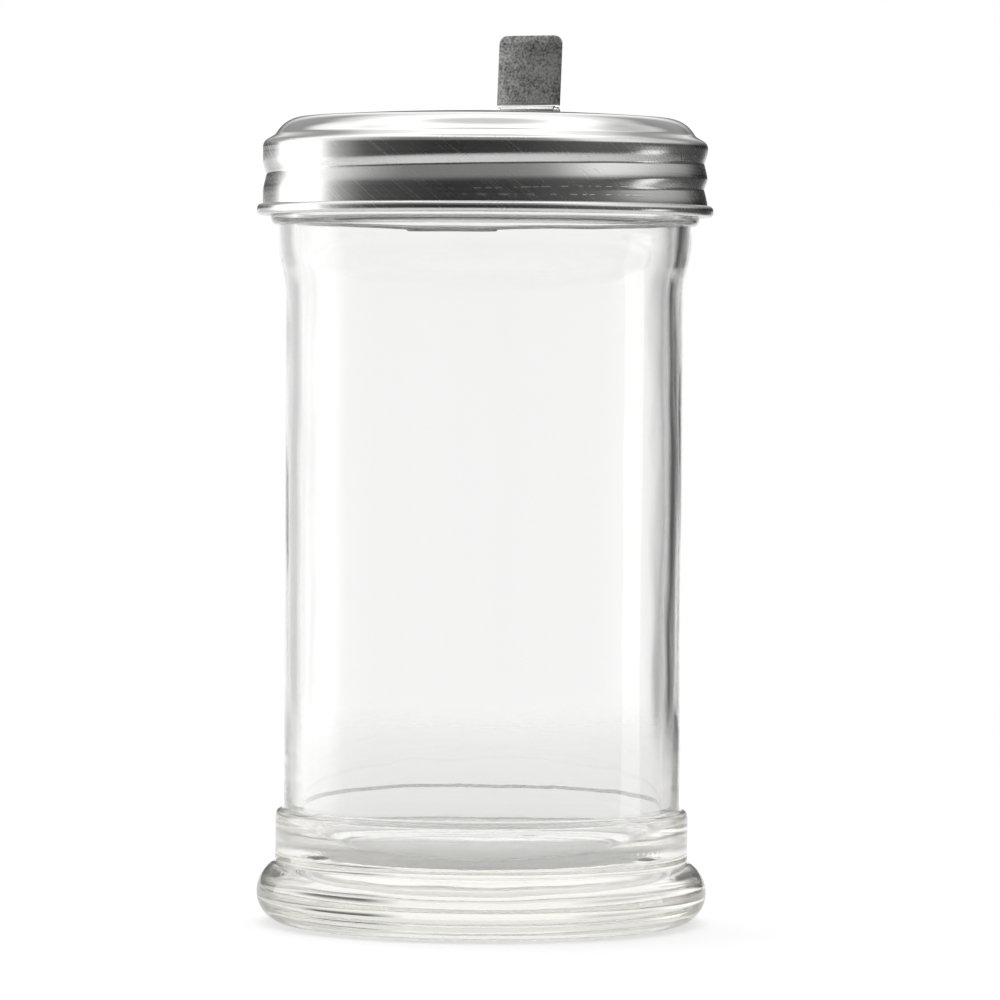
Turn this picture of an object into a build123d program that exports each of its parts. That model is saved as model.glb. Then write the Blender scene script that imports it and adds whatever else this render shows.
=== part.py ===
from build123d import *
from math import acos, asin, atan2, cos, degrees, hypot, radians, sin, sqrt, tan
import os

# Sugar dispenser: a glass jar with a screw lid of thin sheet steel, whose hinged flap covers a
# pour opening. Millimetres, +Z up. The origin is the middle of the ring that the jar stands on.
# The pour opening lies towards +Y, and the thumb tab of the flap faces -Y.

# ---------------------------------------------------------------- driving dimensions
# Glass jar, from the foot up
jar_height = 128.7
body_radius = 33.0
wall = 2.8
floor_thickness = 10.0
floor_corner = 8.0
punt_rise = 1.6  # the hollow under the base
bearing_width = 2.6  # the flat ring that the jar stands on
foot_swell = 3.1  # the foot stands out past the collar by this
foot_lower = 5.1  # height of the foot's widest place, and the radius of its lower edge
foot_upper = 5.1
collar_step = 1.4  # the collar stands out past the body by this
collar_height = 7.8
flare_height = 9.4
flare_step = 1.4
neck_band = 2.75
bead_step = 1.25  # the ring under the screw finish
bead_below_lip = 11.5
finish_step = 0.8  # the screw finish stands out past the neck by this
lip_width = 3.6
lip_round = 1.0

# Lid, pressed from sheet
sheet = 0.5
thread_room = 1.3  # between the screw finish and the skirt, for the threads of both
lid_overlap = 11.1  # how far the skirt reaches below the lip
crown_sphere = 445.0
shoulder_width = 2.2  # from the side of the plateau to the skirt
shoulder_slope = 30.0  # degrees
plateau_edge = 5.2
plateau_slope = 57.0  # degrees, the side of the plateau
plateau_side = 0.4
plateau_foot = 1.2
skirt_corner = 1.4
curl_hollow = 0.23
curl_rise = 0.4
curl_close = 100.0  # degrees that the curl turns in at its top

# Sealing ring
ring_thickness = 1.2
ring_setback = 0.4  # from the mouth
ring_rim_setback = 0.75  # from the inside of the skirt
ring_play = 0.03  # from the ring's rim to the lid

# Pour opening and the flap over it
pour_width = 8.6
pour_length = 9.4
pour_corner = 1.5
pour_to_rim = 5.5
cover_lap = 1.4  # the cover reaches past the opening by this
flap_sheet = 0.5
flap_corner = 1.4
seat_gap = 0.05
tab_height = 12.9
tab_lean = 5.0  # degrees
tab_set_forward = 0.1
jog_round = 0.5

# Hinge: a pin, two lugs on the flap and two ears on the lid
hinge_setback = 2.0  # the pin lies this far from the pour opening
pin_radius = 0.4
pin_head_radius = 0.62
pin_head_edge = 0.1
pin_head_dome = 0.2
pin_fit = 0.02  # pin in the ears
running_fit = 0.07  # pin in the flap
lug_rim = 0.38  # metal round the pin, in the lugs and in the ears
lug_reach = 1.2
ear_half_length = 1.15
side_play = 0.15  # lug to ear
swing_clearance = 0.15  # flap to ear
notch_depth = 0.9  # the flap is this much narrower at the hinge, on each side
notch_length = 1.5

# ---------------------------------------------------------------- worked-out places
body_inner = body_radius - wall
collar_radius = body_radius + collar_step
foot_radius = collar_radius + foot_swell
neck_radius = body_radius + flare_step
bead_radius = neck_radius + bead_step
finish_radius = neck_radius + finish_step
mouth_radius = finish_radius - lip_width
lip_z = jar_height

skirt_inner = finish_radius + thread_room
skirt_radius = skirt_inner + sheet
plateau_radius = skirt_radius - shoulder_width
side_turn, shoulder_turn = radians(plateau_slope), radians(shoulder_slope)
foot_width = plateau_foot * (sin(side_turn) - sin(shoulder_turn))
corner_width = skirt_corner * (1 - sin(shoulder_turn))
shoulder_run = (shoulder_width - foot_width - corner_width) / cos(shoulder_turn)
ring_outer = skirt_inner - ring_rim_setback
ring_top_z = lip_z + ring_thickness
seat_reach = skirt_radius - corner_width - sheet * sin(shoulder_turn) - ring_outer
shoulder_end_z = ring_top_z + ring_play + sheet * cos(shoulder_turn) - seat_reach * tan(shoulder_turn)
skirt_top_z = shoulder_end_z - skirt_corner * cos(shoulder_turn)
lid_bottom_z = lip_z - lid_overlap
skirt_run = skirt_top_z - lid_bottom_z - curl_hollow - sheet
foot_rise = plateau_foot * (cos(shoulder_turn) - cos(side_turn))
plateau_base_z = shoulder_end_z + shoulder_run * sin(shoulder_turn) + foot_rise
edge_reach = plateau_radius - plateau_side * cos(side_turn) - plateau_edge * sin(side_turn)
crown_turn = asin(edge_reach / (crown_sphere - plateau_edge))
edge_drop = plateau_edge * (cos(crown_turn) - cos(side_turn))
crown_rim_z = plateau_base_z + plateau_side * sin(side_turn) + edge_drop
crown_z = crown_rim_z + crown_sphere * (1 - cos(crown_turn))

pour_far = plateau_radius - pour_to_rim
pour_near = pour_far - pour_length
hinge_y = pour_near - hinge_setback
cover_reach = pour_far + cover_lap
flap_half_width = pour_width / 2 + cover_lap
neck_half_width = flap_half_width - notch_depth
ear_inner_x = neck_half_width + side_play
ear_outer_x = ear_inner_x + sheet
knuckle_inner = pin_radius + running_fit
knuckle_outer = knuckle_inner + flap_sheet
lug_radius = knuckle_inner + lug_rim
cover_slope = degrees(asin((hinge_y + cover_reach) / 2 / crown_sphere))


def hinge_height():
    """Height of the pin, from a cover leg that lies on the crown and is tangent to the knuckle."""
    sphere_z = crown_z - crown_sphere
    slope = radians(cover_slope)
    reach = crown_sphere + seat_gap + knuckle_outer
    along = (hinge_y - reach * sin(slope)) / cos(slope)
    return sphere_z + reach * cos(slope) - along * sin(slope)


hinge_z = hinge_height()


# ---------------------------------------------------------------- helpers
def traced(start, heading, moves):
    """Edges of one side of a bent sheet: runs (length,) and bends (radius, signed turn)."""
    edges = []
    x, y = start
    for move in moves:
        a = radians(heading)
        if len(move) == 1:
            end = (x + move[0] * cos(a), y + move[0] * sin(a))
            edges.append(Line((x, y), end))
        else:
            radius, turn = move
            side = 1 if turn > 0 else -1
            cx, cy = x - side * radius * sin(a), y + side * radius * cos(a)
            half, full = a + radians(turn) / 2, a + radians(turn)
            middle = (cx + side * radius * sin(half), cy - side * radius * cos(half))
            end = (cx + side * radius * sin(full), cy - side * radius * cos(full))
            edges.append(ThreePointArc((x, y), middle, end))
            heading += turn
        x, y = end
    return edges, (x, y)


def sheet_section(start, heading, moves, thickness):
    """Closed section of a sheet of even thickness, to the right of the traced side."""
    a = radians(heading)
    other = (start[0] + thickness * sin(a), start[1] - thickness * cos(a))
    inner = [
        move if len(move) == 1 else (move[0] + (thickness if move[1] > 0 else -thickness), move[1])
        for move in moves
    ]
    left, left_end = traced(start, heading, moves)
    right, right_end = traced(other, heading, inner)
    return make_face(left + right + [Line(start, other), Line(left_end, right_end)])


def quarter(start, end, bulge):
    """Quarter arc from start to end with its centre level with one of them: 'out' starts upright."""
    (x0, z0), (x1, z1) = start, end
    cx, cz = (x1, z0) if bulge == "out" else (x0, z1)
    k = sqrt(0.5)
    middle = (cx + (x0 + x1 - 2 * cx) * k, cz + (z0 + z1 - 2 * cz) * k)
    return ThreePointArc(start, middle, end)


def upright_arc(foot, end):
    """Arc that leaves foot straight up or down and ends at end."""
    (x0, z0), (x1, z1) = foot, end
    dx, dz = x1 - x0, z1 - z0
    radius = (dx * dx + dz * dz) / (2 * dx)
    half = asin(dz / radius) / 2
    middle = (x0 + radius * (1 - cos(half)), z0 + radius * sin(half))
    return ThreePointArc(foot, middle, end)


def domed_arc(rim, rise):
    """Shallow arc from a rim point to the axis, rise above the rim."""
    (r, z) = rim
    sphere = (r * r + rise * rise) / (2 * rise)
    middle = z + rise - sphere + sqrt(sphere**2 - (r / 2) ** 2)
    return ThreePointArc(rim, (r / 2, middle), (0, z + rise))


def tangent_point(radius, base, drop):
    """Where a line from (base, -drop) touches the circle about the pin."""
    spread = acos(radius / hypot(base, drop))
    angle = atan2(-drop, base) + (spread if base > 0 else -spread)
    return radius * cos(angle), radius * sin(angle)


def lug_outline(radius, left, right, drop):
    """Round head about the pin on a foot that widens from left to right, drop below the pin."""
    foot = [(0, 0), (0, -drop)]
    outline = Circle(radius)
    for base in (left, right):
        if abs(base) > radius:
            corners = [*foot, (base, -drop), tangent_point(radius, base, drop)]
            outline += make_face(Polyline(*corners, close=True))
    return outline


def upright(outline, x_from, x_to):
    """Solid of an outline drawn as (y, z) about the pin, between two values of x."""
    plane = Plane(origin=(x_from, hinge_y, hinge_z), x_dir=(0, 1, 0), z_dir=(1, 0, 0))
    return extrude(plane * outline, x_to - x_from)


def block(x_from, x_to, y_from, y_to, z_from, z_to):
    """Box between pairs of coordinates."""
    centre = ((x_from + x_to) / 2, (y_from + y_to) / 2, (z_from + z_to) / 2)
    return Pos(*centre) * Box(x_to - x_from, y_to - y_from, z_to - z_from)


def crown_height(distance):
    """Height of the crown's outer face at a distance from the axis."""
    return crown_z - crown_sphere + sqrt(crown_sphere**2 - distance**2)


# ---------------------------------------------------------------- jar
def make_jar():
    """Pressed glass jar: round foot, collar, straight body, flared neck and screw finish."""
    bearing_radius = foot_radius - foot_lower
    bearing_inner = bearing_radius - bearing_width
    foot_height = foot_lower + foot_upper
    collar_top = foot_height + collar_height
    half_step = collar_step / 2
    bead_z = lip_z - bead_below_lip
    band_top = bead_z - bead_step
    band_bottom = band_top - neck_band
    flare_bottom = band_bottom - flare_height
    bead_top = bead_z + bead_step
    throat_top = band_bottom + neck_band / 2
    throat_radius = (mouth_radius + body_inner) / 2
    throat_z = (flare_bottom + throat_top) / 2
    outline = [
        domed_arc((bearing_inner, 0), punt_rise),
        Line((bearing_inner, 0), (bearing_radius, 0)),
        quarter((bearing_radius, 0), (foot_radius, foot_lower), "in"),
        upright_arc((foot_radius, foot_lower), (collar_radius, foot_height)),
        Line((collar_radius, foot_height), (collar_radius, collar_top)),
        quarter((collar_radius, collar_top), (body_radius + half_step, collar_top + half_step), "out"),
        quarter(
            (body_radius + half_step, collar_top + half_step),
            (body_radius, collar_top + collar_step),
            "in",
        ),
        Line((body_radius, collar_top + collar_step), (body_radius, flare_bottom)),
        upright_arc((body_radius, flare_bottom), (neck_radius, band_bottom)),
        Line((neck_radius, band_bottom), (neck_radius, band_top)),
        quarter((neck_radius, band_top), (bead_radius, bead_z), "in"),
        upright_arc((bead_radius, bead_z), (finish_radius, bead_top)),
        Line((finish_radius, bead_top), (finish_radius, lip_z - lip_round)),
        quarter((finish_radius, lip_z - lip_round), (finish_radius - lip_round, lip_z), "out"),
        Line((finish_radius - lip_round, lip_z), (mouth_radius + lip_round, lip_z)),
        quarter((mouth_radius + lip_round, lip_z), (mouth_radius, lip_z - lip_round), "in"),
        Line((mouth_radius, lip_z - lip_round), (mouth_radius, throat_top)),
        upright_arc((mouth_radius, throat_top), (throat_radius, throat_z)),
        upright_arc((body_inner, flare_bottom), (throat_radius, throat_z)),
        Line((body_inner, flare_bottom), (body_inner, floor_thickness + floor_corner)),
        quarter(
            (body_inner, floor_thickness + floor_corner),
            (body_inner - floor_corner, floor_thickness),
            "out",
        ),
        Line((body_inner - floor_corner, floor_thickness), (0, floor_thickness)),
        Line((0, floor_thickness), (0, punt_rise)),
    ]
    return revolve(Plane.XZ * make_face(outline), Axis.Z)


# ---------------------------------------------------------------- lid
def make_lid():
    """One pressed sheet: crown, skirt, curled edge, pour opening and the two lanced hinge ears."""
    crown_angle = degrees(crown_turn)
    moves = [
        (crown_sphere, -crown_angle),
        (plateau_edge, crown_angle - plateau_slope),
        (plateau_side,),
        (plateau_foot, plateau_slope - shoulder_slope),
        (shoulder_run,),
        (skirt_corner, shoulder_slope - 90),
        (skirt_run,),
        (curl_hollow, 180),
        (curl_rise,),
        (curl_hollow, curl_close),
    ]
    shell = revolve(Plane.XZ * sheet_section((0, crown_z), 0, moves, sheet), Axis.Z)

    drop = hinge_z - crown_height(hinge_y) + sheet / 2
    ear = lug_outline(lug_radius, -ear_half_length, ear_half_length, drop)
    ear -= Circle(pin_radius + pin_fit)
    ear_height = drop + lug_radius
    for x_from, x_to in ((ear_inner_x, ear_outer_x), (-ear_outer_x, -ear_inner_x)):
        shell += upright(ear, x_from, x_to)
    under = crown_rim_z - 2 * sheet
    window_y = (hinge_y - ear_half_length, hinge_y + ear_half_length)
    for x_from, x_to in (
        (ear_inner_x - ear_height, ear_inner_x),
        (-ear_inner_x, ear_height - ear_inner_x),
    ):
        shell -= block(x_from, x_to, *window_y, under, crown_z)

    middle = (0, (pour_near + pour_far) / 2, under)
    pour = Plane(origin=middle) * RectangleRounded(pour_width, pour_length, pour_corner)
    return shell - extrude(pour, crown_z - under)


# ---------------------------------------------------------------- sealing ring
def make_sealing_ring():
    """Soft flat ring on the lip, whose rim the lid's sloping shoulder presses down."""
    inner = mouth_radius + ring_setback
    corners = [(inner, lip_z), (ring_outer, lip_z), (ring_outer, ring_top_z), (inner, ring_top_z)]
    return revolve(Plane.XZ * make_face(Polyline(*corners, close=True)), Axis.Z)


# ---------------------------------------------------------------- flap
def make_flap():
    """One bent sheet: thumb tab, knuckle round the pin, side lugs, and the cover leg."""
    middle = knuckle_inner + flap_sheet / 2
    jog_middle = jog_round + flap_sheet / 2
    jog_turn = 90 - degrees(asin((tab_set_forward + jog_middle) / (middle + jog_middle)))
    jog_rise = (middle + jog_middle) * sin(radians(jog_turn))
    lean = radians(tab_lean)

    # The path starts at the tip of the tab, on the face that looks to +Y.
    offset = tab_set_forward - flap_sheet / 2
    tip = (
        tab_height * sin(lean) - offset * cos(lean),
        tab_height * cos(lean) + offset * sin(lean),
    )
    cover_length = (cover_reach - hinge_y) / cos(radians(cover_slope))
    knuckle_turn = 90 + tab_lean - cover_slope + jog_turn
    moves = [
        (tab_height - jog_rise,),
        (jog_round + flap_sheet, -jog_turn),
        (knuckle_inner, knuckle_turn),
        (cover_length,),
    ]
    section = sheet_section(tip, -90 - tab_lean, moves, flap_sheet)
    strip = upright(section, -flap_half_width, flap_half_width)

    tab_plane = Plane(origin=(0, hinge_y, hinge_z), x_dir=(1, 0, 0), z_dir=(0, -cos(lean), sin(lean)))
    reach = tab_height + cover_length
    tab_outline = Pos(0, (tab_height - reach) / 2) * RectangleRounded(
        2 * flap_half_width, tab_height + reach, flap_corner
    )
    tab = extrude(tab_plane * tab_outline, knuckle_outer + flap_sheet, both=True)
    cover_outline = Pos(0, cover_reach - reach) * RectangleRounded(
        2 * flap_half_width, 2 * reach, flap_corner
    )
    cover_zone = Plane(origin=(0, 0, hinge_z - 2 * knuckle_outer)) * cover_outline
    cover = extrude(cover_zone, 2 * knuckle_outer + jog_rise)
    flap = strip & (tab + cover)

    notch_radius = lug_radius + swing_clearance
    notch_end = hinge_y + notch_length
    for x_from, x_to in (
        (neck_half_width, flap_half_width),
        (-flap_half_width, -neck_half_width),
    ):
        flap -= upright(Circle(notch_radius), x_from, x_to)
        flap -= block(x_from, x_to, hinge_y - notch_radius, notch_end, crown_height(0) - sheet, hinge_z)

    lug = lug_outline(lug_radius, 0, lug_reach, knuckle_inner + flap_sheet / 2)
    for x_from, x_to in (
        (neck_half_width - flap_sheet, neck_half_width),
        (-neck_half_width, flap_sheet - neck_half_width),
    ):
        flap += upright(lug, x_from, x_to)
    return flap - upright(Circle(knuckle_inner), -flap_half_width, flap_half_width)


# ---------------------------------------------------------------- hinge pin
def make_hinge_pin():
    """Pin with two riveted heads on the outer faces of the ears."""
    rim = ear_outer_x + pin_head_edge
    half = [
        Line((0, 0), (pin_radius, 0)),
        Line((pin_radius, 0), (pin_radius, ear_outer_x)),
        Line((pin_radius, ear_outer_x), (pin_head_radius, ear_outer_x)),
        Line((pin_head_radius, ear_outer_x), (pin_head_radius, rim)),
        domed_arc((pin_head_radius, rim), pin_head_dome),
        Line((0, rim + pin_head_dome), (0, 0)),
    ]
    side = revolve(Plane.XZ * make_face(half), Axis.Z)
    pin = side + mirror(side, Plane.XY)
    return Pos(0, hinge_y, hinge_z) * Rot(0, 90, 0) * pin


nodes = {
    "jar": make_jar,
    "lid": make_lid,
    "sealing_ring": make_sealing_ring,
    "flap": make_flap,
    "hinge_pin": make_hinge_pin,
}

os.makedirs("parts", exist_ok=True)
for name, make in nodes.items():
    export_step(make(), f"parts/{name}.step")
print(f"pin at y {hinge_y:.3f} z {hinge_z:.3f}, crown {crown_z:.3f}, lid bottom {lid_bottom_z:.3f}")
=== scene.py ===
# %% [markdown]
# # A glass sugar dispenser with a flap in its screw lid
# The real thing is a pressed glass jar, a screw lid stamped from thin stainless sheet, and a small
# bent flap that turns on a pin in the lid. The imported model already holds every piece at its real
# size, so this script adds what makes them look real: finer shapes, glass, worked steel and light.

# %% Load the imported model
import bmesh
import bpy
from math import asin, atan2, cos, degrees, hypot, pi, radians, sin, sqrt
from mathutils import Matrix, Vector, noise


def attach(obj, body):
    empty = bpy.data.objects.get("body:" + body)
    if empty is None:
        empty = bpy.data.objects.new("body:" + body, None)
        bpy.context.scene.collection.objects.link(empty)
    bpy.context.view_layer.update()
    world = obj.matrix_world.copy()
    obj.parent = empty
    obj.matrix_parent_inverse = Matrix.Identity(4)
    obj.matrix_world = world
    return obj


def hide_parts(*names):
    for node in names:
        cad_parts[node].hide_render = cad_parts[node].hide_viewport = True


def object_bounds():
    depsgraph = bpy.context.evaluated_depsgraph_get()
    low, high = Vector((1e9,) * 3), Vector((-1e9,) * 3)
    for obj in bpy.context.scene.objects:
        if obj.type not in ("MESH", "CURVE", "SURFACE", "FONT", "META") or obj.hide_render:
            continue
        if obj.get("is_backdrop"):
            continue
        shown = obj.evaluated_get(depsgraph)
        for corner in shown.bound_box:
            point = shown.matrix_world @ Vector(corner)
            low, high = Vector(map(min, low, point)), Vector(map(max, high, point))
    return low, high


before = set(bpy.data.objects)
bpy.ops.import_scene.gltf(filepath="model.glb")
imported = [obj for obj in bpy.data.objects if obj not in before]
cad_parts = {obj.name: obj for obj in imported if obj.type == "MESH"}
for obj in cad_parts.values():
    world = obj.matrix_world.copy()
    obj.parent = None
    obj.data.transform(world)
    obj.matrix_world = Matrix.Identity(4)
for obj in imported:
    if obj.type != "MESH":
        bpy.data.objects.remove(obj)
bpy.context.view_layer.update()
scene = bpy.context.scene
mm = 0.001
print("nodes:", sorted(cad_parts))

# %% [markdown]
# ## Camera
# A long lens far away keeps the sides of the jar nearly parallel. It stands a little below the lid,
# so the crown is seen edge on while the foot is seen a little from above.

# %% Camera
camera_azimuth = radians(23.7)
camera_distance = 1.0
camera_height = 98.0 * mm
aim_height = 70.4 * mm
aim_right = 2.75 * mm
camera_roll = radians(0.35)

towards_camera = Vector((sin(camera_azimuth), -cos(camera_azimuth), 0))
rightwards = Vector((cos(camera_azimuth), sin(camera_azimuth), 0))
camera_data = bpy.data.cameras.new("camera")
camera_data.lens = 216.1
camera_data.sensor_width = 36
camera = bpy.data.objects.new("camera", camera_data)
scene.collection.objects.link(camera)
camera.location = towards_camera * camera_distance + Vector((0, 0, camera_height))
aim = rightwards * aim_right + Vector((0, 0, aim_height))
camera.rotation_euler = (aim - camera.location).to_track_quat("-Z", "Y").to_euler()
camera.rotation_euler.rotate_axis("Z", camera_roll)
scene.camera = camera
print("camera at", [round(value, 3) for value in camera.location])

# %% [markdown]
# ## A small kit for node materials
# Every finish below is a short tree of nodes. This class only saves typing: it adds a node, sets
# its sockets by name and links what is already a socket.

# %% Node helper
class Tree:
    """Adds nodes to a material's or world's tree, with numbers set and sockets linked by name."""

    def __init__(self, owner):
        owner.use_nodes = True
        self.nodes = owner.node_tree.nodes
        self.links = owner.node_tree.links
        self.nodes.clear()

    def add(self, kind, inputs=None, **settings):
        node = self.nodes.new(kind)
        for name, value in settings.items():
            setattr(node, name, value)
        for name, value in (inputs or {}).items():
            self.feed(node.inputs[name], value)
        return node

    def feed(self, socket, value):
        if isinstance(value, bpy.types.NodeSocket):
            self.links.new(value, socket)
        else:
            socket.default_value = value

    def math(self, operation, first, second=0.0, third=0.0):
        node = self.add("ShaderNodeMath", operation=operation)
        for socket, value in zip(node.inputs, (first, second, third)):
            self.feed(socket, value)
        return node.outputs[0]

    def ramp(self, factor, stops, interpolation="LINEAR"):
        """Colour ramp whose stops are (place, grey or colour)."""
        node = self.add("ShaderNodeValToRGB", {"Fac": factor})
        node.color_ramp.interpolation = interpolation
        elements = node.color_ramp.elements
        while len(elements) < len(stops):
            elements.new(1)
        for element, (place, colour) in zip(elements, stops):
            grey = isinstance(colour, (int, float))
            element.position = place
            element.color = (colour, colour, colour, 1) if grey else (*colour, 1)
        return node.outputs["Color"]

    def span(self, value, low, high, kind="SMOOTHSTEP"):
        """How far a value has gone from low to high, from 0 to 1."""
        inputs = {"Value": value, "From Min": low, "From Max": high}
        return self.add("ShaderNodeMapRange", inputs, interpolation_type=kind).outputs["Result"]

    def noise(self, vector, scale, stretch=(1, 1, 1), detail=3):
        """Noise on a vector, finer along the axes that are stretched more."""
        stretched = self.add("ShaderNodeMapping", {"Vector": vector, "Scale": stretch}).outputs[0]
        inputs = {"Vector": stretched, "Scale": scale, "Detail": detail}
        return self.add("ShaderNodeTexNoise", inputs).outputs["Fac"]

    def mix(self, factor, first, second, blend="MIX"):
        """Mix of two colours."""
        node = self.add("ShaderNodeMix", data_type="RGBA", blend_type=blend)
        self.feed(node.inputs[0], factor)
        self.feed(node.inputs[6], first)
        self.feed(node.inputs[7], second)
        return node.outputs[2]


# %% [markdown]
# ## Studio
# Bright glass and steel are only as good as what they mirror. The world is a white studio: a pale
# wall behind, a tall soft light on each side, a wide one overhead and a dark room behind the camera.
# Seen straight on by the camera it is plain white.
#
# Only the steel mirrors three darker places: a line just above the horizon, a corner to the left
# and right of the wall behind, and the middle of the ceiling. Rays that leave the glass steeply or
# sideways find white in place of the dark room, so that the jar looks clear from all sides.

# %% World
# Places round the studio are (degrees from the camera to the right, brightness).
low_ring = [
    (-180, 1.0), (-166, 1.0), (-158, 0.6), (-140, 0.65), (-126, 2.1), (-99, 2.1), (-87, 0.55),
    (-66, 0.08), (-20, 0.03), (20, 0.05), (60, 0.12), (100, 0.1), (146, 0.06), (160, 0.1),
    (167, 1.0), (180, 1.0),
]
high_ring = [
    (-180, 1.15), (-140, 0.95), (-112, 1.5), (-88, 0.9), (-68, 0.45), (-44, 0.22), (-17, 0.26),
    (10, 0.27), (35, 0.33), (63, 1.1), (90, 1.0), (114, 0.7), (144, 0.9), (165, 1.1), (180, 1.15),
]
low_top, high_from = 6, 24  # degrees of elevation between which the rings blend
ceiling, ceiling_from, ceiling_to = 1.6, 48, 64
brightest = 2.2  # a ramp ends at 1, so brightness is divided by this and multiplied again
black, white = (0, 0, 0, 1), (1, 1, 1, 1)

# Fades in degrees, as (none of it, all of it), and the brightness that is left in full shade.
line_from, line_fade, line_shade = 1.3, (22, 5), 0.12
line_back = 0.7  # the line lies behind the jar, past this share of the way straight back
dome_fade, dome_shade = (66, 85), 0.5
corner_near, corner_far, corner_bottom, corner_top = (128, 142), (174, 162), (9, 15), (50, 36)
corner_shade = 0.4

# How far rays through glass find white in place of the room.
steep_from, steep_full, steep_lift = 0.05, 0.2, 0.7  # by the sine of the elevation
side_fade, side_lift = (148, 137), 0.65


def turn_share(angle):
    """Place of an angle in degrees on a ramp that covers the whole turn."""
    return angle / 360 + 0.5


def ring_colour(tree, share, ring):
    """Brightness round the studio, which may pass white."""
    shades = tree.ramp(share, [(turn_share(angle), value / brightest) for angle, value in ring])
    return tree.mix(1, shades, (brightest, brightest, brightest, 1), "MULTIPLY")


def rising(tree, height, start, end):
    """Ramp from 0 to 1 between two elevations in degrees."""
    return tree.ramp(height, [(sin(radians(start)), 0), (sin(radians(end)), 1)], "EASE")


def up_fade(tree, height, fade):
    """Fade between two elevations in degrees, which may fall."""
    return tree.span(height, *[sin(radians(angle)) for angle in fade])


def round_fade(tree, away, fade):
    """Fade between two angles in degrees from the camera, to either side, which may fall."""
    return tree.span(away, *[radians(angle) for angle in fade])


def product(tree, *shares):
    """All shares multiplied."""
    result = shares[0]
    for share in shares[1:]:
        result = tree.math("MULTIPLY", result, share)
    return result


world = bpy.data.worlds.new("studio")
scene.world = world
tree = Tree(world)
direction = tree.add("ShaderNodeTexCoord").outputs["Generated"]
turned = tree.add(
    "ShaderNodeVectorRotate", {"Vector": direction, "Angle": -camera_azimuth}, rotation_type="Z_AXIS"
)
parts = tree.add("ShaderNodeSeparateXYZ", {"Vector": turned.outputs[0]})
height = parts.outputs["Z"]
round_angle = tree.math("ARCTAN2", parts.outputs["X"], tree.math("MULTIPLY", parts.outputs["Y"], -1))
share = tree.math("MULTIPLY_ADD", round_angle, 1 / (2 * pi), 0.5)
low = ring_colour(tree, share, low_ring)
high = ring_colour(tree, share, high_ring)
room = tree.mix(rising(tree, height, low_top, high_from), low, high)
above = tree.mix(rising(tree, height, ceiling_from, ceiling_to), room, (ceiling, ceiling, ceiling, 1))
away = tree.math("ABSOLUTE", round_angle)
behind = tree.math("GREATER_THAN", parts.outputs["Y"], line_back)
raised = tree.math("GREATER_THAN", height, sin(radians(line_from)))
line = product(tree, up_fade(tree, height, line_fade), raised, behind)
dome = up_fade(tree, height, dome_fade)
sides = product(tree, round_fade(tree, away, corner_near), round_fade(tree, away, corner_far))
heights = product(tree, up_fade(tree, height, corner_bottom), up_fade(tree, height, corner_top))
corners = product(tree, sides, heights)
dim = tree.math("MULTIPLY", line, 1 - line_shade)
dim = tree.math("MAXIMUM", dim, tree.math("MULTIPLY", dome, 1 - dome_shade))
dim = tree.math("MAXIMUM", dim, tree.math("MULTIPLY", corners, 1 - corner_shade))

path = tree.add("ShaderNodeLightPath")
glassy = path.outputs["Is Transmission Ray"]
mirrored = tree.math("GREATER_THAN", path.outputs["Is Glossy Ray"], glassy)
shaded = tree.mix(tree.math("MULTIPLY", mirrored, dim), above, black)
steep = tree.ramp(tree.math("ABSOLUTE", height), [(steep_from, 0), (steep_full, steep_lift)], "EASE")
sideways = tree.math("MULTIPLY", round_fade(tree, away, side_fade), side_lift)
lift = tree.math("MULTIPLY", glassy, tree.math("MAXIMUM", steep, sideways))
lifted = tree.mix(lift, shaded, white)
seen = tree.mix(path.outputs["Is Camera Ray"], lifted, white)
background = tree.add("ShaderNodeBackground", {"Color": seen})
tree.add("ShaderNodeOutputWorld", {"Surface": background.outputs[0]})

# %% Floor
floor_radius = 0.5
floor_fade = 0.14  # the floor fades away from here to its rim
floor_grey = 0.78
floor_lift = 0.3  # brings the floor up to the white of the background
floor_mesh = bmesh.new()
bmesh.ops.create_circle(floor_mesh, cap_ends=True, radius=floor_radius, segments=96)
floor_data = bpy.data.meshes.new("floor")
floor_mesh.to_mesh(floor_data)
floor_mesh.free()
floor = bpy.data.objects.new("floor", floor_data)
floor.location.z = -0.1 * mm  # glass and floor in one plane would hide each other
scene.collection.objects.link(floor)
floor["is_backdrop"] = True
floor_paint = bpy.data.materials.new("floor_paint")
tree = Tree(floor_paint)
path = tree.add("ShaderNodeLightPath")
place = tree.add("ShaderNodeTexCoord").outputs["Object"]
reach = tree.add("ShaderNodeVectorMath", {0: place}, operation="LENGTH").outputs["Value"]
paint = tree.add("ShaderNodeBsdfDiffuse", {"Color": (floor_grey, floor_grey, floor_grey, 1)})
shown = tree.math("MULTIPLY", path.outputs["Is Camera Ray"], floor_lift)
lift = tree.add("ShaderNodeEmission", {"Strength": shown})
both = tree.add("ShaderNodeAddShader")
tree.links.new(paint.outputs[0], both.inputs[0])
tree.links.new(lift.outputs[0], both.inputs[1])
clear = tree.add("ShaderNodeBsdfTransparent")
fade = tree.ramp(reach, [(floor_fade, 0), (0.98 * floor_radius, 1)], "EASE")
faded = tree.add("ShaderNodeMixShader", {"Fac": fade})
tree.links.new(both.outputs[0], faded.inputs[1])
tree.links.new(clear.outputs[0], faded.inputs[2])
tree.add("ShaderNodeOutputMaterial", {"Surface": faded.outputs[0]})
floor_data.materials.append(floor_paint)

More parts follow.
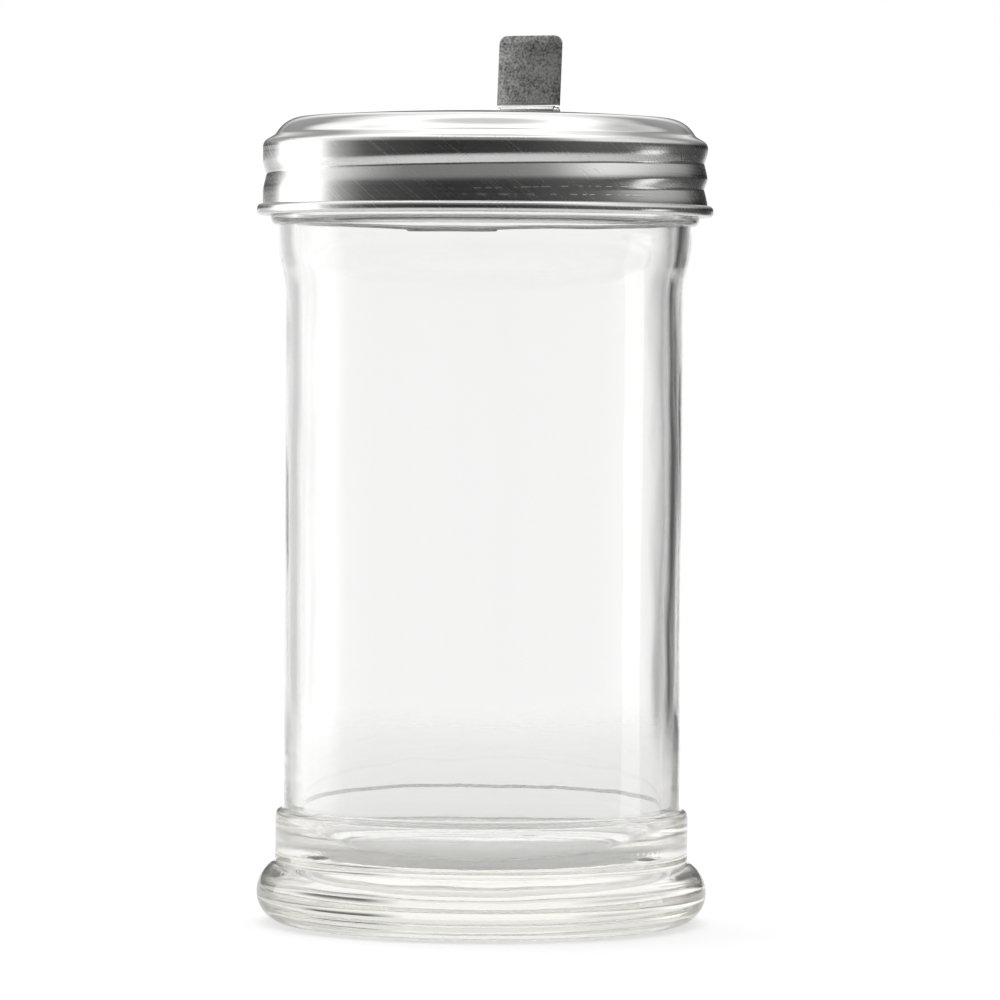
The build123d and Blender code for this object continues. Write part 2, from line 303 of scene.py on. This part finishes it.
# %% Overhead lamp
lamp_data = bpy.data.lights.new("overhead", "AREA")
lamp_data.shape = "DISK"
lamp_data.size = 0.7
lamp_data.energy = 0.8
lamp = bpy.data.objects.new("overhead", lamp_data)
lamp.location = (-0.25, 0.1, 0.9)
lamp.rotation_euler = (Vector((0, 0, 0.07)) - lamp.location).to_track_quat("-Z", "Y").to_euler()
lamp.visible_glossy = False
lamp.visible_camera = False
lamp.visible_transmission = False
scene.collection.objects.link(lamp)
scene.view_settings.view_transform = "Standard"

# %% [markdown]
# ## Card
# A white card stands close to the right of the jar. The glass mirrors it as an upright streak, and
# it ends below the lid, so that the steel doesn't show it.

# %% Card
card_angle = radians(92.5)  # from the camera, to the right
card_distance, card_width, card_top = 0.35, 0.1, 0.112
card_mesh = bmesh.new()
corners = bmesh.ops.create_grid(card_mesh, x_segments=1, y_segments=1, size=0.5)["verts"]
bmesh.ops.scale(card_mesh, vec=(card_width, card_top, 1), verts=corners)
bmesh.ops.rotate(card_mesh, verts=corners, matrix=Matrix.Rotation(pi / 2, 3, "X"))
card_data = bpy.data.meshes.new("card")
card_mesh.to_mesh(card_data)
card_mesh.free()
card = bpy.data.objects.new("card", card_data)
scene.collection.objects.link(card)
card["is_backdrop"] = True
way = Matrix.Rotation(card_angle, 3, "Z") @ towards_camera
card.location = way * card_distance + Vector((0, 0, card_top / 2))
card.rotation_euler = (0, 0, atan2(way.y, way.x) + pi / 2)
card_paint = bpy.data.materials.new("card_paint")
tree = Tree(card_paint)
glow = tree.add("ShaderNodeEmission", {"Color": (1, 1, 1, 1), "Strength": 1.3})
tree.add("ShaderNodeOutputMaterial", {"Surface": glow.outputs[0]})
card_data.materials.append(card_paint)
card.visible_camera = False
card.visible_diffuse = False
card.visible_transmission = False
card.visible_shadow = False
print("card at", [round(value, 3) for value in card.location])

# %% [markdown]
# ## Light paths
# Light that enters thick glass is thrown to and fro many times inside the foot and the rim before
# it comes out. Cycles gives up after a few turns and leaves such places black, where a real jar
# stays clear, so the light may turn more often here.

# %% Light paths
turns = 32
scene.cycles.max_bounces = turns
scene.cycles.glossy_bounces = turns
scene.cycles.transmission_bounces = turns

# %% [markdown]
# ## A pen for outlines
# Almost every piece here is turned or pressed, so it starts as a wire in the plane of X and Z. The
# pen grows that wire with operators: a run is an extruded point that is moved, a bend is a point
# that is spun round the middle of the bend. Outlines are drawn in millimetres and scaled at the end.

# %% Pen
class Pen:
    """Draws a wire from a starting point. Bends to the left are positive, in degrees."""

    def __init__(self, mesh, start, heading=0):
        self.mesh = mesh
        self.tip = bmesh.ops.create_vert(mesh, co=(start[0], 0, start[1]))["vert"][0]
        self.heading = radians(heading)

    def run(self, length, steps=1):
        """Straight on, in equal steps."""
        step = Vector((cos(self.heading), 0, sin(self.heading))) * length / steps
        for _ in range(steps):
            self.tip = bmesh.ops.extrude_vert_indiv(self.mesh, verts=[self.tip])["verts"][0]
            bmesh.ops.translate(self.mesh, verts=[self.tip], vec=step)

    def bend(self, radius, turn, steps):
        """Arc of a radius through a signed turn."""
        side = 1 if turn > 0 else -1
        left = Vector((-sin(self.heading), 0, cos(self.heading)))
        spun = bmesh.ops.spin(
            self.mesh,
            geom=[self.tip],
            cent=self.tip.co + left * side * radius,
            axis=(0, -1, 0),
            angle=radians(turn),
            steps=steps,
        )
        self.tip = next(item for item in spun["geom_last"] if isinstance(item, bmesh.types.BMVert))
        self.heading += radians(turn)

    def to(self, x, z, steps=1):
        """Straight to a point."""
        gap = Vector((x, 0, z)) - self.tip.co
        self.heading = atan2(gap.z, gap.x)
        self.run(gap.length, steps)

    def curve(self, x, z, steps):
        """Arc to a point, smooth with what comes before."""
        gap = Vector((x, 0, z)) - self.tip.co
        ahead = gap.x * cos(self.heading) + gap.z * sin(self.heading)
        aside = gap.z * cos(self.heading) - gap.x * sin(self.heading)
        self.bend(abs(gap.length_squared / (2 * aside)), degrees(2 * atan2(aside, ahead)), steps)

    def face(self, heading):
        """Turns on the spot, for a corner."""
        self.heading = radians(heading)


def turned_mesh(mesh, segments):
    """Spins a drawn wire round Z into a closed skin that faces outwards."""
    bmesh.ops.spin(
        mesh,
        geom=mesh.verts[:] + mesh.edges[:],
        cent=(0, 0, 0),
        axis=(0, 0, 1),
        angle=2 * pi,
        steps=segments,
        use_merge=True,
    )
    bmesh.ops.remove_doubles(mesh, verts=mesh.verts, dist=1e-4)
    bmesh.ops.dissolve_degenerate(mesh, edges=mesh.edges, dist=1e-5)
    bmesh.ops.recalc_face_normals(mesh, faces=mesh.faces)


def finished(mesh, name, smooth_angle=40):
    """Turns a bmesh in millimetres into an object in metres."""
    bmesh.ops.scale(mesh, vec=(mm, mm, mm), verts=mesh.verts)
    data = bpy.data.meshes.new(name)
    mesh.to_mesh(data)
    mesh.free()
    data.shade_smooth()
    data.set_sharp_from_angle(angle=radians(smooth_angle))
    piece = bpy.data.objects.new(name, data)
    scene.collection.objects.link(piece)
    print(name, "faces:", len(data.polygons))
    return piece


def stand_in(piece, node, body, paint):
    """Puts a finished piece in the place of a CAD node, on that node's body."""
    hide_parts(node)
    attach(piece, body)
    piece.data.materials.clear()
    piece.data.materials.append(paint)


# %% [markdown]
# ## The helix
# The jar and the lid share one screw thread: the same pitch, so that the lid climbs as it turns. A
# thread is a band that winds round a wall, so it is pressed into the turned skin by moving the
# wall's points in or out, by how far each lies from the middle of the band. At both ends the
# band fades away, as a rolled thread does.

# %% Helix
pitch = 4.3
groove_zero = 121.97  # height of the lid's groove at +X
fade_turn = 40  # degrees


def smooth(share):
    """Eases a share between 0 and 1."""
    share = min(1, max(0, share))
    return share * share * (3 - 2 * share)


def soft_ramp(share, softness=0.3):
    """Falls from 1 at 0 to 0 at 1, eased where it ends."""
    left = 1 - share
    return (left + sqrt(left * left + softness * softness)) / 2


def band_share(point, zero, start, turn, below, above, shape):
    """How fully a point lies in the band of a helix, from 0 to 1, over a reach below and above."""
    angle = degrees(atan2(point.y, point.x))
    best = 0
    while angle < start + turn:
        if angle > start:
            off = point.z - zero - pitch * angle / 360
            across = shape(off / above if off > 0 else -off / below)
            along = smooth(min(angle - start, start + turn - angle) / fade_turn)
            best = max(best, across * along)
        angle += 360
    return best


def push_out(point, amount):
    """Moves a point away from the Z axis."""
    reach = hypot(point.x, point.y)
    point.x *= 1 + amount / reach
    point.y *= 1 + amount / reach


# %% [markdown]
# ## Glass jar
# The jar is pressed in a mould: a thick floor, straight walls, a rounded foot and a collar above it,
# and a flared neck under the threaded finish. One wire holds the outside and the inside, because
# light bends at both and the thickness between them is what makes glass look like glass.

# %% Jar outline
jar_segments = 480
bearing_inner, bearing_outer = 29.8, 32.4
foot_radius, foot_middle, foot_top = 37.5, 5.1, 10.2
collar_radius, collar_top, collar_round = 34.4, 18.0, 0.7
body_radius, flare_bottom = 33.0, 103.8
neck_radius, flare_top, neck_top = 34.4, 114.8, 115.95
bead_radius, bead_middle, bead_top = 35.65, 117.2, 118.45
finish_radius, lip_height, lip_round = 35.2, 128.7, 1.0
mouth_radius, throat_top = 31.6, 114.575
inner_radius, floor_height, floor_corner, punt = 30.2, 10.0, 8.0, 1.6
throat_radius, throat_middle = (mouth_radius + inner_radius) / 2, (flare_bottom + throat_top) / 2


def draw_jar(mesh):
    """The jar's section, from under the base round to the middle of its floor."""
    pen = Pen(mesh, (0, punt))
    sphere = (bearing_inner**2 + punt**2) / (2 * punt)
    pen.bend(sphere, -degrees(atan2(bearing_inner, sphere - punt)), 10)
    pen.to(bearing_outer, 0, 4)
    pen.face(0)
    pen.curve(foot_radius, foot_middle, 12)
    pen.curve(collar_radius, foot_top, 11)
    pen.to(collar_radius, collar_top, 4)
    pen.curve(collar_radius - collar_round, collar_top + collar_round, 6)
    pen.curve(body_radius, collar_top + 2 * collar_round, 6)
    pen.to(body_radius, flare_bottom, 4)
    pen.curve((body_radius + neck_radius) / 2, (flare_bottom + flare_top) / 2, 8)
    pen.curve(neck_radius, flare_top, 8)
    pen.to(neck_radius, neck_top, 2)
    pen.face(0)
    pen.curve(bead_radius, bead_middle, 7)
    pen.curve(finish_radius, bead_top, 7)
    pen.to(finish_radius, lip_height - lip_round, 32)
    pen.curve(finish_radius - lip_round, lip_height, 6)
    pen.to(mouth_radius + lip_round, lip_height, 2)
    pen.curve(mouth_radius, lip_height - lip_round, 6)
    pen.to(mouth_radius, throat_top, 4)
    pen.curve(throat_radius, throat_middle, 8)
    pen.curve(inner_radius, flare_bottom, 8)
    pen.to(inner_radius, floor_height + floor_corner, 26)
    pen.curve(inner_radius - floor_corner, floor_height, 12)
    pen.to(0, floor_height, 8)


# %% Jar
glass_thread_depth, glass_thread_half = 1.05, 1.15
glass_thread_rise = 1.55  # the jar's thread lies this far above the lid's groove
glass_thread_start, glass_thread_turn = -247, 527
mark_count = 96  # small presses of the mould round the bearing ring
mark_depth = 0.16
mark_inner, mark_outer = 30.2, 33.9
wave_depth = 0.07  # pressed glass is never quite even on the inside


def thread_shape(off):
    """Rounded section of the jar's thread, flat on top."""
    return smooth(1.3 - 1.3 * off)


def shape_jar(mesh):
    """Thread, bearing marks and the unevenness of pressed glass."""
    thread_zero = groove_zero + glass_thread_rise
    thread = (thread_zero, glass_thread_start, glass_thread_turn, glass_thread_half, glass_thread_half)
    for vert in mesh.verts:
        point = vert.co
        reach = hypot(point.x, point.y)
        if reach > finish_radius - 0.1 and bead_top < point.z < lip_height - lip_round:
            push_out(point, glass_thread_depth * band_share(point, *thread, thread_shape))
        elif point.z < 1.2 and mark_inner < reach < mark_outer:
            turn = atan2(point.y, point.x) * mark_count + 1.5 * reach
            middle = (mark_inner + mark_outer) / 2
            across = smooth(1.4 * (1 - abs(reach - middle) / (mark_outer - middle)))
            point.z += mark_depth * across * max(0, sin(turn)) ** 2
        elif reach < mouth_radius - 0.2 and point.z > floor_height - 0.1:
            slow = noise.noise(Vector((point.x / 14, point.y / 14, point.z / 34)))
            quick = noise.noise(Vector((point.x / 5, point.y / 5, point.z / 9 + 40)))
            if reach > 1:
                push_out(point, wave_depth * (slow + 0.35 * quick))


jar_mesh = bmesh.new()
draw_jar(jar_mesh)
turned_mesh(jar_mesh, jar_segments)
shape_jar(jar_mesh)
jar = finished(jar_mesh, "glass_jar", 60)

# %% [markdown]
# ## Pressed lid
# The lid is one disc of thin sheet, drawn over a tool: a slightly domed crown, a round edge, a
# shoulder, a skirt with a thread rolled into it, and a rim that is curled outwards so that it
# doesn't cut. Both faces of the sheet are drawn, half a millimetre apart, and joined at the curl.

# %% Lid outline
lid_segments = 360
sheet = 0.5
crown_height, crown_sphere = 134.95, 445.0
plateau_radius, plateau_edge, plateau_slope, plateau_side, plateau_foot = 34.8, 5.2, 57, 0.4, 1.2
shoulder_slope, shoulder_run, skirt_corner = 30, 1.2628, 1.4
skirt_radius, skirt_top, skirt_bottom = 37.0, 128.977, 118.33
curl_hollow, curl_rise, curl_close = 0.23, 0.4, 100
side_turn = radians(plateau_slope)
edge_reach = plateau_radius - plateau_side * cos(side_turn) - plateau_edge * sin(side_turn)
crown_turn = degrees(asin(edge_reach / (crown_sphere - plateau_edge)))
# Three numbers are a bend (radius, turn, steps), fewer are a run (length, steps).
lid_moves = [
    (crown_sphere, -crown_turn, 26),
    (plateau_edge, crown_turn - plateau_slope, 16),
    (plateau_side,),
    (plateau_foot, plateau_slope - shoulder_slope, 6),
    (shoulder_run, 3),
    (skirt_corner, shoulder_slope - 90, 9),
    (skirt_top - skirt_bottom, 52),
    (curl_hollow, 180, 10),
    (curl_rise,),
    (curl_hollow, curl_close, 6),
]


def draw_side(mesh, start, depth):
    """One face of the sheet, at a depth below the outer one."""
    pen = Pen(mesh, start)
    for move in lid_moves:
        if len(move) == 3:
            radius, turn, steps = move
            pen.bend(radius + (depth if turn > 0 else -depth), turn, steps)
        else:
            pen.run(move[0], move[1] if len(move) > 1 else 1)
    return pen.tip


groove_depth = 0.62
groove_below, groove_above = 2.3, 1.5  # the flank under the crease is the longer one
groove_start, groove_turn = -48, 478
groove_ends = 0.8  # the groove dies out over this height at the top and bottom of the skirt


def shape_lid(mesh):
    """Rolls the thread into both faces of the skirt."""
    for vert in mesh.verts:
        point = vert.co
        if hypot(point.x, point.y) > skirt_radius - sheet - 0.1 and skirt_bottom < point.z < skirt_top:
            share = band_share(
                point, groove_zero, groove_start, groove_turn, groove_below, groove_above, soft_ramp
            )
            over, under = (point.z - skirt_bottom) / groove_ends, (skirt_top - point.z) / groove_ends
            ends = smooth(over) * smooth(under)
            push_out(point, -groove_depth * share * ends)


lid_mesh = bmesh.new()
outer_end = draw_side(lid_mesh, (0, crown_height), 0)
inner_end = draw_side(lid_mesh, (0, crown_height - sheet), sheet)
bmesh.ops.contextual_create(lid_mesh, geom=[outer_end, inner_end])
turned_mesh(lid_mesh, lid_segments)
shape_lid(lid_mesh)

# %% [markdown]
# The pour opening and two small windows are punched through the crown. The metal of each window is
# bent up into an ear that carries the hinge pin, so every window lies just inside its ear. The
# punches are simple solids, taken away from the lid or added to it by Boolean modifiers.

# %% Punched openings and ears
pour_half_width, pour_near, pour_far, pour_corner = 4.3, 19.9, 29.3, 1.5
hinge_y, hinge_z = 17.9, 135.657
ear_inner, ear_outer, ear_half = 4.95, 5.45, 1.15
ear_radius, ear_foot = 0.85, 134.45
window_length = 1.95
punch_low, punch_high = 132, 137


def plate(mesh, half_x, low_y, high_y, low_z, high_z, corner=0.0, corner_steps=6):
    """A block with rounded upright edges, centred on X."""
    made = bmesh.ops.create_cube(mesh, size=1)["verts"]
    bmesh.ops.scale(mesh, vec=(2 * half_x, high_y - low_y, high_z - low_z), verts=made)
    middle = (0, (low_y + high_y) / 2, (low_z + high_z) / 2)
    bmesh.ops.translate(mesh, verts=made, vec=middle)
    if corner:
        own = [edge for edge in mesh.edges if edge.verts[0] in made]
        upright = [edge for edge in own if abs(edge.verts[0].co.z - edge.verts[1].co.z) > 0.01]
        bmesh.ops.bevel(
            mesh,
            geom=upright,
            offset=corner,
            segments=corner_steps,
            profile=0.5,
            affect="EDGES",
            material=-1,
        )
    return made


def solid(name, build):
    """A helper object from a function that fills a bmesh."""
    mesh = bmesh.new()
    build(mesh)
    bmesh.ops.recalc_face_normals(mesh, faces=mesh.faces)
    return finished(mesh, name)


def build_punches(mesh):
    """Pour opening and the two windows."""
    plate(mesh, pour_half_width, pour_near, pour_far, punch_low, punch_high, pour_corner)
    half = window_length / 2
    for side in (-1, 1):
        made = plate(mesh, half, hinge_y - ear_half, hinge_y + ear_half, punch_low, punch_high)
        bmesh.ops.translate(mesh, verts=made, vec=(side * (ear_inner - half), 0, 0))


def build_ears(mesh):
    """Two round-headed ears, which the pin goes through."""
    for side in (-1, 1):
        pen_mesh = bmesh.new()
        pen = Pen(pen_mesh, (-ear_half, ear_foot))
        pen.to(ear_half, ear_foot)
        pen.to(ear_radius, hinge_z - 0.1)
        pen.face(90)
        pen.bend(ear_radius, 180, 18)
        ring = pen_mesh.verts[:]
        outline = bmesh.ops.contextual_create(pen_mesh, geom=ring)["faces"]
        bmesh.ops.rotate(pen_mesh, verts=ring, cent=(0, 0, 0), matrix=Matrix.Rotation(pi / 2, 3, "Z"))
        bmesh.ops.translate(pen_mesh, verts=ring, vec=(ear_inner, hinge_y, 0))
        grown = bmesh.ops.extrude_face_region(pen_mesh, geom=outline, use_keep_orig=True)["geom"]
        far = [item for item in grown if isinstance(item, bmesh.types.BMVert)]
        bmesh.ops.translate(pen_mesh, verts=far, vec=(ear_outer - ear_inner, 0, 0))
        if side < 0:
            bmesh.ops.scale(pen_mesh, vec=(-1, 1, 1), verts=pen_mesh.verts)
        bmesh.ops.recalc_face_normals(pen_mesh, faces=pen_mesh.faces)
        part_data = bpy.data.meshes.new("ear")
        pen_mesh.to_mesh(part_data)
        pen_mesh.free()
        mesh.from_mesh(part_data)
        bpy.data.meshes.remove(part_data)


def cut_or_join(piece, tool, operation):
    """Applies one Boolean and removes its tool."""
    modifier = piece.modifiers.new(operation.lower(), "BOOLEAN")
    modifier.operation = operation
    modifier.solver = "EXACT"
    modifier.object = tool
    bpy.context.view_layer.update()
    evaluated = piece.evaluated_get(bpy.context.evaluated_depsgraph_get())
    made = bpy.data.meshes.new_from_object(evaluated)
    piece.modifiers.clear()
    piece.data = made
    bpy.data.objects.remove(tool)


lid_smooth = 50  # degrees
lid = finished(lid_mesh, "pressed_lid", lid_smooth)
cut_or_join(lid, solid("punches", build_punches), "DIFFERENCE")
cut_or_join(lid, solid("ears", build_ears), "UNION")
lid.data.shade_smooth()
lid.data.set_sharp_from_angle(angle=radians(lid_smooth))
print("lid faces after punching:", len(lid.data.polygons))

# %% [markdown]
# ## Sealing ring
# A soft flat washer lies in the top of the lid and is squeezed on the jar's lip. It is a turned
# strip with slightly rounded edges.

# %% Ring
ring_inner, ring_outer, ring_low, ring_high, ring_round = 32.0, 35.75, 128.7, 129.9, 0.2
ring_mesh = bmesh.new()
ring_pen = Pen(ring_mesh, (ring_inner + ring_round, ring_low))
for side in (ring_outer - ring_inner, ring_high - ring_low) * 2:
    ring_pen.run(side - 2 * ring_round)
    ring_pen.bend(ring_round, 90, 4)
turned_mesh(ring_mesh, lid_segments)
ring = finished(ring_mesh, "soft_washer", 50)

# %% [markdown]
# ## Flap and pin
# The flap is punched from strip and bent: a thumb tab, a knuckle round the pin and a cover leg. Its
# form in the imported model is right, but real sheet has no knife edges. So its mesh is copied and
# merged, flat faces are joined, and the sharp edges get a fine bevel.


# %% Eased copies
def eased_copy(node, name, ease):
    """A copy of a CAD node whose sharp edges are eased by a bevel, in millimetres."""
    mesh = bmesh.new()
    mesh.from_mesh(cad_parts[node].data)
    bmesh.ops.scale(mesh, vec=(1 / mm, 1 / mm, 1 / mm), verts=mesh.verts)
    bmesh.ops.remove_doubles(mesh, verts=mesh.verts, dist=1e-3)
    bmesh.ops.dissolve_limit(mesh, angle_limit=radians(0.5), verts=mesh.verts, edges=mesh.edges)
    sharp = [edge for edge in mesh.edges if edge.is_manifold and edge.calc_face_angle(0) > radians(35)]
    bmesh.ops.bevel(
        mesh,
        geom=sharp,
        offset=ease,
        segments=2,
        profile=0.5,
        affect="EDGES",
        material=-1,
        clamp_overlap=True,
    )
    bmesh.ops.triangulate(mesh, faces=[face for face in mesh.faces if len(face.verts) > 4])
    return finished(mesh, name, 35)


flap = eased_copy("flap", "bent_flap", 0.07)
pin = eased_copy("hinge_pin", "riveted_pin", 0.04)

# %% [markdown]
# ## Glass finish
# Pressed glass is clear, with a trace of green and yellow that only shows where the light has a
# long way through it. Its skin is smooth but not even: the mould leaves wide waves and, in places,
# fine ripples. Light that goes straight through to the floor is let pass, so that the jar
# doesn't stand on a black shadow.


# %% Glass
def begun(name):
    """A new material with its tree and the place on the piece."""
    material = bpy.data.materials.new(name)
    tree = Tree(material)
    return material, tree, tree.add("ShaderNodeTexCoord").outputs["Object"]


glass, tree, place = begun("pressed_glass")
waves = tree.noise(place, 55, (1, 1, 0.5), 1)
patch = tree.span(tree.noise(place, 30, (1, 1, 0.4), 2), 0.52, 0.62)
ripples = tree.math("MULTIPLY", tree.noise(place, 700, (1, 1, 0.6), 2), patch)
uneven = tree.math("MULTIPLY_ADD", ripples, 0.015, waves)
bump = tree.add("ShaderNodeBump", {"Height": uneven, "Strength": 0.35, "Distance": 0.0008})
shader = tree.add(
    "ShaderNodeBsdfPrincipled",
    {
        "Base Color": (1, 1, 1, 1),
        "Transmission Weight": 0.985,
        "IOR": 1.5,
        "Roughness": 0.0,
        "Normal": bump.outputs[0],
    },
)
clear = tree.add("ShaderNodeBsdfTransparent", {"Color": (0.96, 0.965, 0.955, 1)})
path = tree.add("ShaderNodeLightPath")
through = tree.add("ShaderNodeMixShader", {"Fac": path.outputs["Is Shadow Ray"]})
tree.links.new(shader.outputs[0], through.inputs[1])
tree.links.new(clear.outputs[0], through.inputs[2])
tint = tree.add("ShaderNodeVolumeAbsorption", {"Color": (0.96, 0.945, 0.86, 1), "Density": 8.0})
tree.add("ShaderNodeOutputMaterial", {"Surface": through.outputs[0], "Volume": tint.outputs[0]})

# %% [markdown]
# ## Lid finish
# The crown comes bright from the polished press tool. The skirt was spun against the thread
# roller, which leaves fine lines round it, and hands and other lids have scratched it aslant. Two
# rows of short dashes over the bead are chatter of the roller. Height tells crown from skirt,
# and slanting scratches come from noise on a place that is twisted round Z.

# %% Lid steel
lid_steel, tree, place = begun("lid_steel")
parts = tree.add("ShaderNodeSeparateXYZ", {"Vector": place})
height = parts.outputs["Z"]
around = tree.math("ARCTAN2", parts.outputs["Y"], parts.outputs["X"])
crown = tree.span(height, 129.6 * mm, 130.6 * mm)
lathe_lines = tree.noise(place, 1, (20, 20, 3200), 4)
cloud = tree.noise(place, 60)


def slanting(tree, place, height, twist, reach, threshold):
    """Scratches that lean as they go down the skirt. Twist is in radians for each metre."""
    turned = tree.add(
        "ShaderNodeVectorRotate",
        {"Vector": place, "Angle": tree.math("MULTIPLY", height, twist)},
        rotation_type="Z_AXIS",
    )
    return tree.span(tree.noise(turned.outputs[0], 1, (2600, 2600, reach), 2), threshold, threshold + 0.12)


scratches = tree.math(
    "MAXIMUM",
    slanting(tree, place, height, 36, 90, 0.58),
    tree.math("MULTIPLY", slanting(tree, place, height, -60, 150, 0.62), 0.5),
)
scratched = tree.math("MULTIPLY", scratches, tree.math("SUBTRACT", 1, crown))

dash_from, dash_to = radians(-84), radians(-16)
dash_rows = [(121.15, 122.3), (120.35, 120.6)]  # height where each row starts and ends


def dash_row(tree, start, end):
    """One row of dashes along the skirt."""
    share = tree.span(around, dash_from, dash_to, "LINEAR")
    middle = tree.math("MULTIPLY_ADD", share, (end - start) * mm, start * mm)
    off = tree.math("ABSOLUTE", tree.math("SUBTRACT", height, middle))
    return tree.span(off, 0.11 * mm, 0.04 * mm)


dashes = tree.math("MAXIMUM", dash_row(tree, *dash_rows[0]), dash_row(tree, *dash_rows[1]))
broken = tree.span(tree.noise(place, 1, (900, 900, 900), 1), 0.48, 0.56)
window = tree.math(
    "MULTIPLY", tree.span(around, dash_from, dash_from + 0.3), tree.span(around, dash_to, dash_to - 0.3)
)
chatter = tree.math("MULTIPLY", tree.math("MULTIPLY", dashes, broken), window)

grain = tree.math("MULTIPLY_ADD", scratched, 0.35, lathe_lines)
relief = tree.math("MULTIPLY_ADD", chatter, 2.5, grain)
strength = tree.math("MULTIPLY_ADD", crown, -0.16, 0.2)
bump = tree.add("ShaderNodeBump", {"Height": relief, "Strength": strength, "Distance": 0.00003})
tone = tree.ramp(cloud, [(0.3, (0.70, 0.70, 0.69)), (0.7, (0.79, 0.79, 0.78))])
colour = tree.mix(tree.math("MULTIPLY", chatter, 0.6), tone, (0.95, 0.95, 0.94, 1))
skirt_rough = tree.math("MULTIPLY_ADD", lathe_lines, 0.16, 0.13)
crown_rough = tree.math("MULTIPLY_ADD", cloud, 0.08, 0.03)
rough = tree.mix(crown, skirt_rough, crown_rough)
rougher = tree.math("MULTIPLY_ADD", scratched, 0.1, rough)
tangent = tree.add("ShaderNodeTangent", direction_type="RADIAL", axis="Z")
shader = tree.add(
    "ShaderNodeBsdfPrincipled",
    {
        "Base Color": colour,
        "Metallic": 1.0,
        "Roughness": rougher,
        "Anisotropic": 0.4,
        "Normal": bump.outputs[0],
        "Tangent": tangent.outputs[0],
    },
)
tree.add("ShaderNodeOutputMaterial", {"Surface": shader.outputs[0]})

# %% [markdown]
# ## Flap finish
# Fingers lift the tab many times a day, so its satin is mottled: dull, dark grains between
# brighter rubbed ones. The knuckle and the leg stay brighter.

# %% Flap steel
flap_steel, tree, place = begun("flap_steel")
height = tree.add("ShaderNodeSeparateXYZ", {"Vector": place}).outputs["Z"]
tab = tree.span(height, 136.6 * mm, 137.4 * mm)  # the height where the tab begins
grains = tree.noise(place, 2600, detail=4)
stains = tree.noise(place, 420, detail=3)
mottled = tree.math("MULTIPLY_ADD", stains, 0.4, tree.math("MULTIPLY", grains, 0.8))
tab_shades = [(0.42, (0.21, 0.21, 0.205)), (0.58, (0.6, 0.6, 0.59)), (0.74, (0.88, 0.88, 0.87))]
tab_tone = tree.ramp(mottled, tab_shades)
colour = tree.mix(tab, (0.74, 0.74, 0.73, 1), tab_tone)
tab_rough = tree.math("MULTIPLY_ADD", mottled, 0.3, 0.18)
rough = tree.mix(tab, (0.16, 0.16, 0.16, 1), tab_rough)
bump = tree.add("ShaderNodeBump", {"Height": mottled, "Strength": 0.5, "Distance": 0.00006})
shader = tree.add(
    "ShaderNodeBsdfPrincipled",
    {"Base Color": colour, "Metallic": 1.0, "Roughness": rough, "Normal": bump.outputs[0]},
)
tree.add("ShaderNodeOutputMaterial", {"Surface": shader.outputs[0]})

# %% [markdown]
# ## Pin and washer finishes
# The pin is cut from drawn wire, so its lines run along X. The washer is a matt, slightly
# milky plastic with a faint bloom.

# %% Pin steel
pin_steel, tree, place = begun("pin_steel")
lines = tree.noise(place, 1, (60, 4000, 4000))
bump = tree.add("ShaderNodeBump", {"Height": lines, "Strength": 0.3, "Distance": 0.00003})
shader = tree.add(
    "ShaderNodeBsdfPrincipled",
    {
        "Base Color": tree.ramp(lines, [(0.3, (0.6, 0.6, 0.59)), (0.7, (0.76, 0.76, 0.75))]),
        "Metallic": 1.0,
        "Roughness": tree.math("MULTIPLY_ADD", lines, 0.2, 0.15),
        "Normal": bump.outputs[0],
    },
)
tree.add("ShaderNodeOutputMaterial", {"Surface": shader.outputs[0]})

# %% Washer plastic
washer, tree, place = begun("washer_plastic")
bloom = tree.noise(place, 240)
pores = tree.noise(place, 4000, detail=1)
bump = tree.add("ShaderNodeBump", {"Height": pores, "Strength": 0.15, "Distance": 0.00004})
shader = tree.add(
    "ShaderNodeBsdfPrincipled",
    {
        "Base Color": tree.ramp(bloom, [(0.35, (0.82, 0.82, 0.79)), (0.65, (0.9, 0.9, 0.88))]),
        "Roughness": tree.math("MULTIPLY_ADD", bloom, 0.25, 0.4),
        "Normal": bump.outputs[0],
    },
)
tree.add("ShaderNodeOutputMaterial", {"Surface": shader.outputs[0]})

# %% [markdown]
# ## Putting the pieces in place
# Each finished piece takes the place of its packed twin and rides on the same body, so that it
# turns, lifts or swings with it, and takes its own finish.

# %% Stand-ins
stand_in(jar, "jar", "jar", glass)
stand_in(ring, "sealing_ring", "sealing_ring", washer)
stand_in(lid, "lid", "lid", lid_steel)
stand_in(pin, "hinge_pin", "lid", pin_steel)
stand_in(flap, "flap", "flap", flap_steel)

# %% Sizes for the record
low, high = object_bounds()
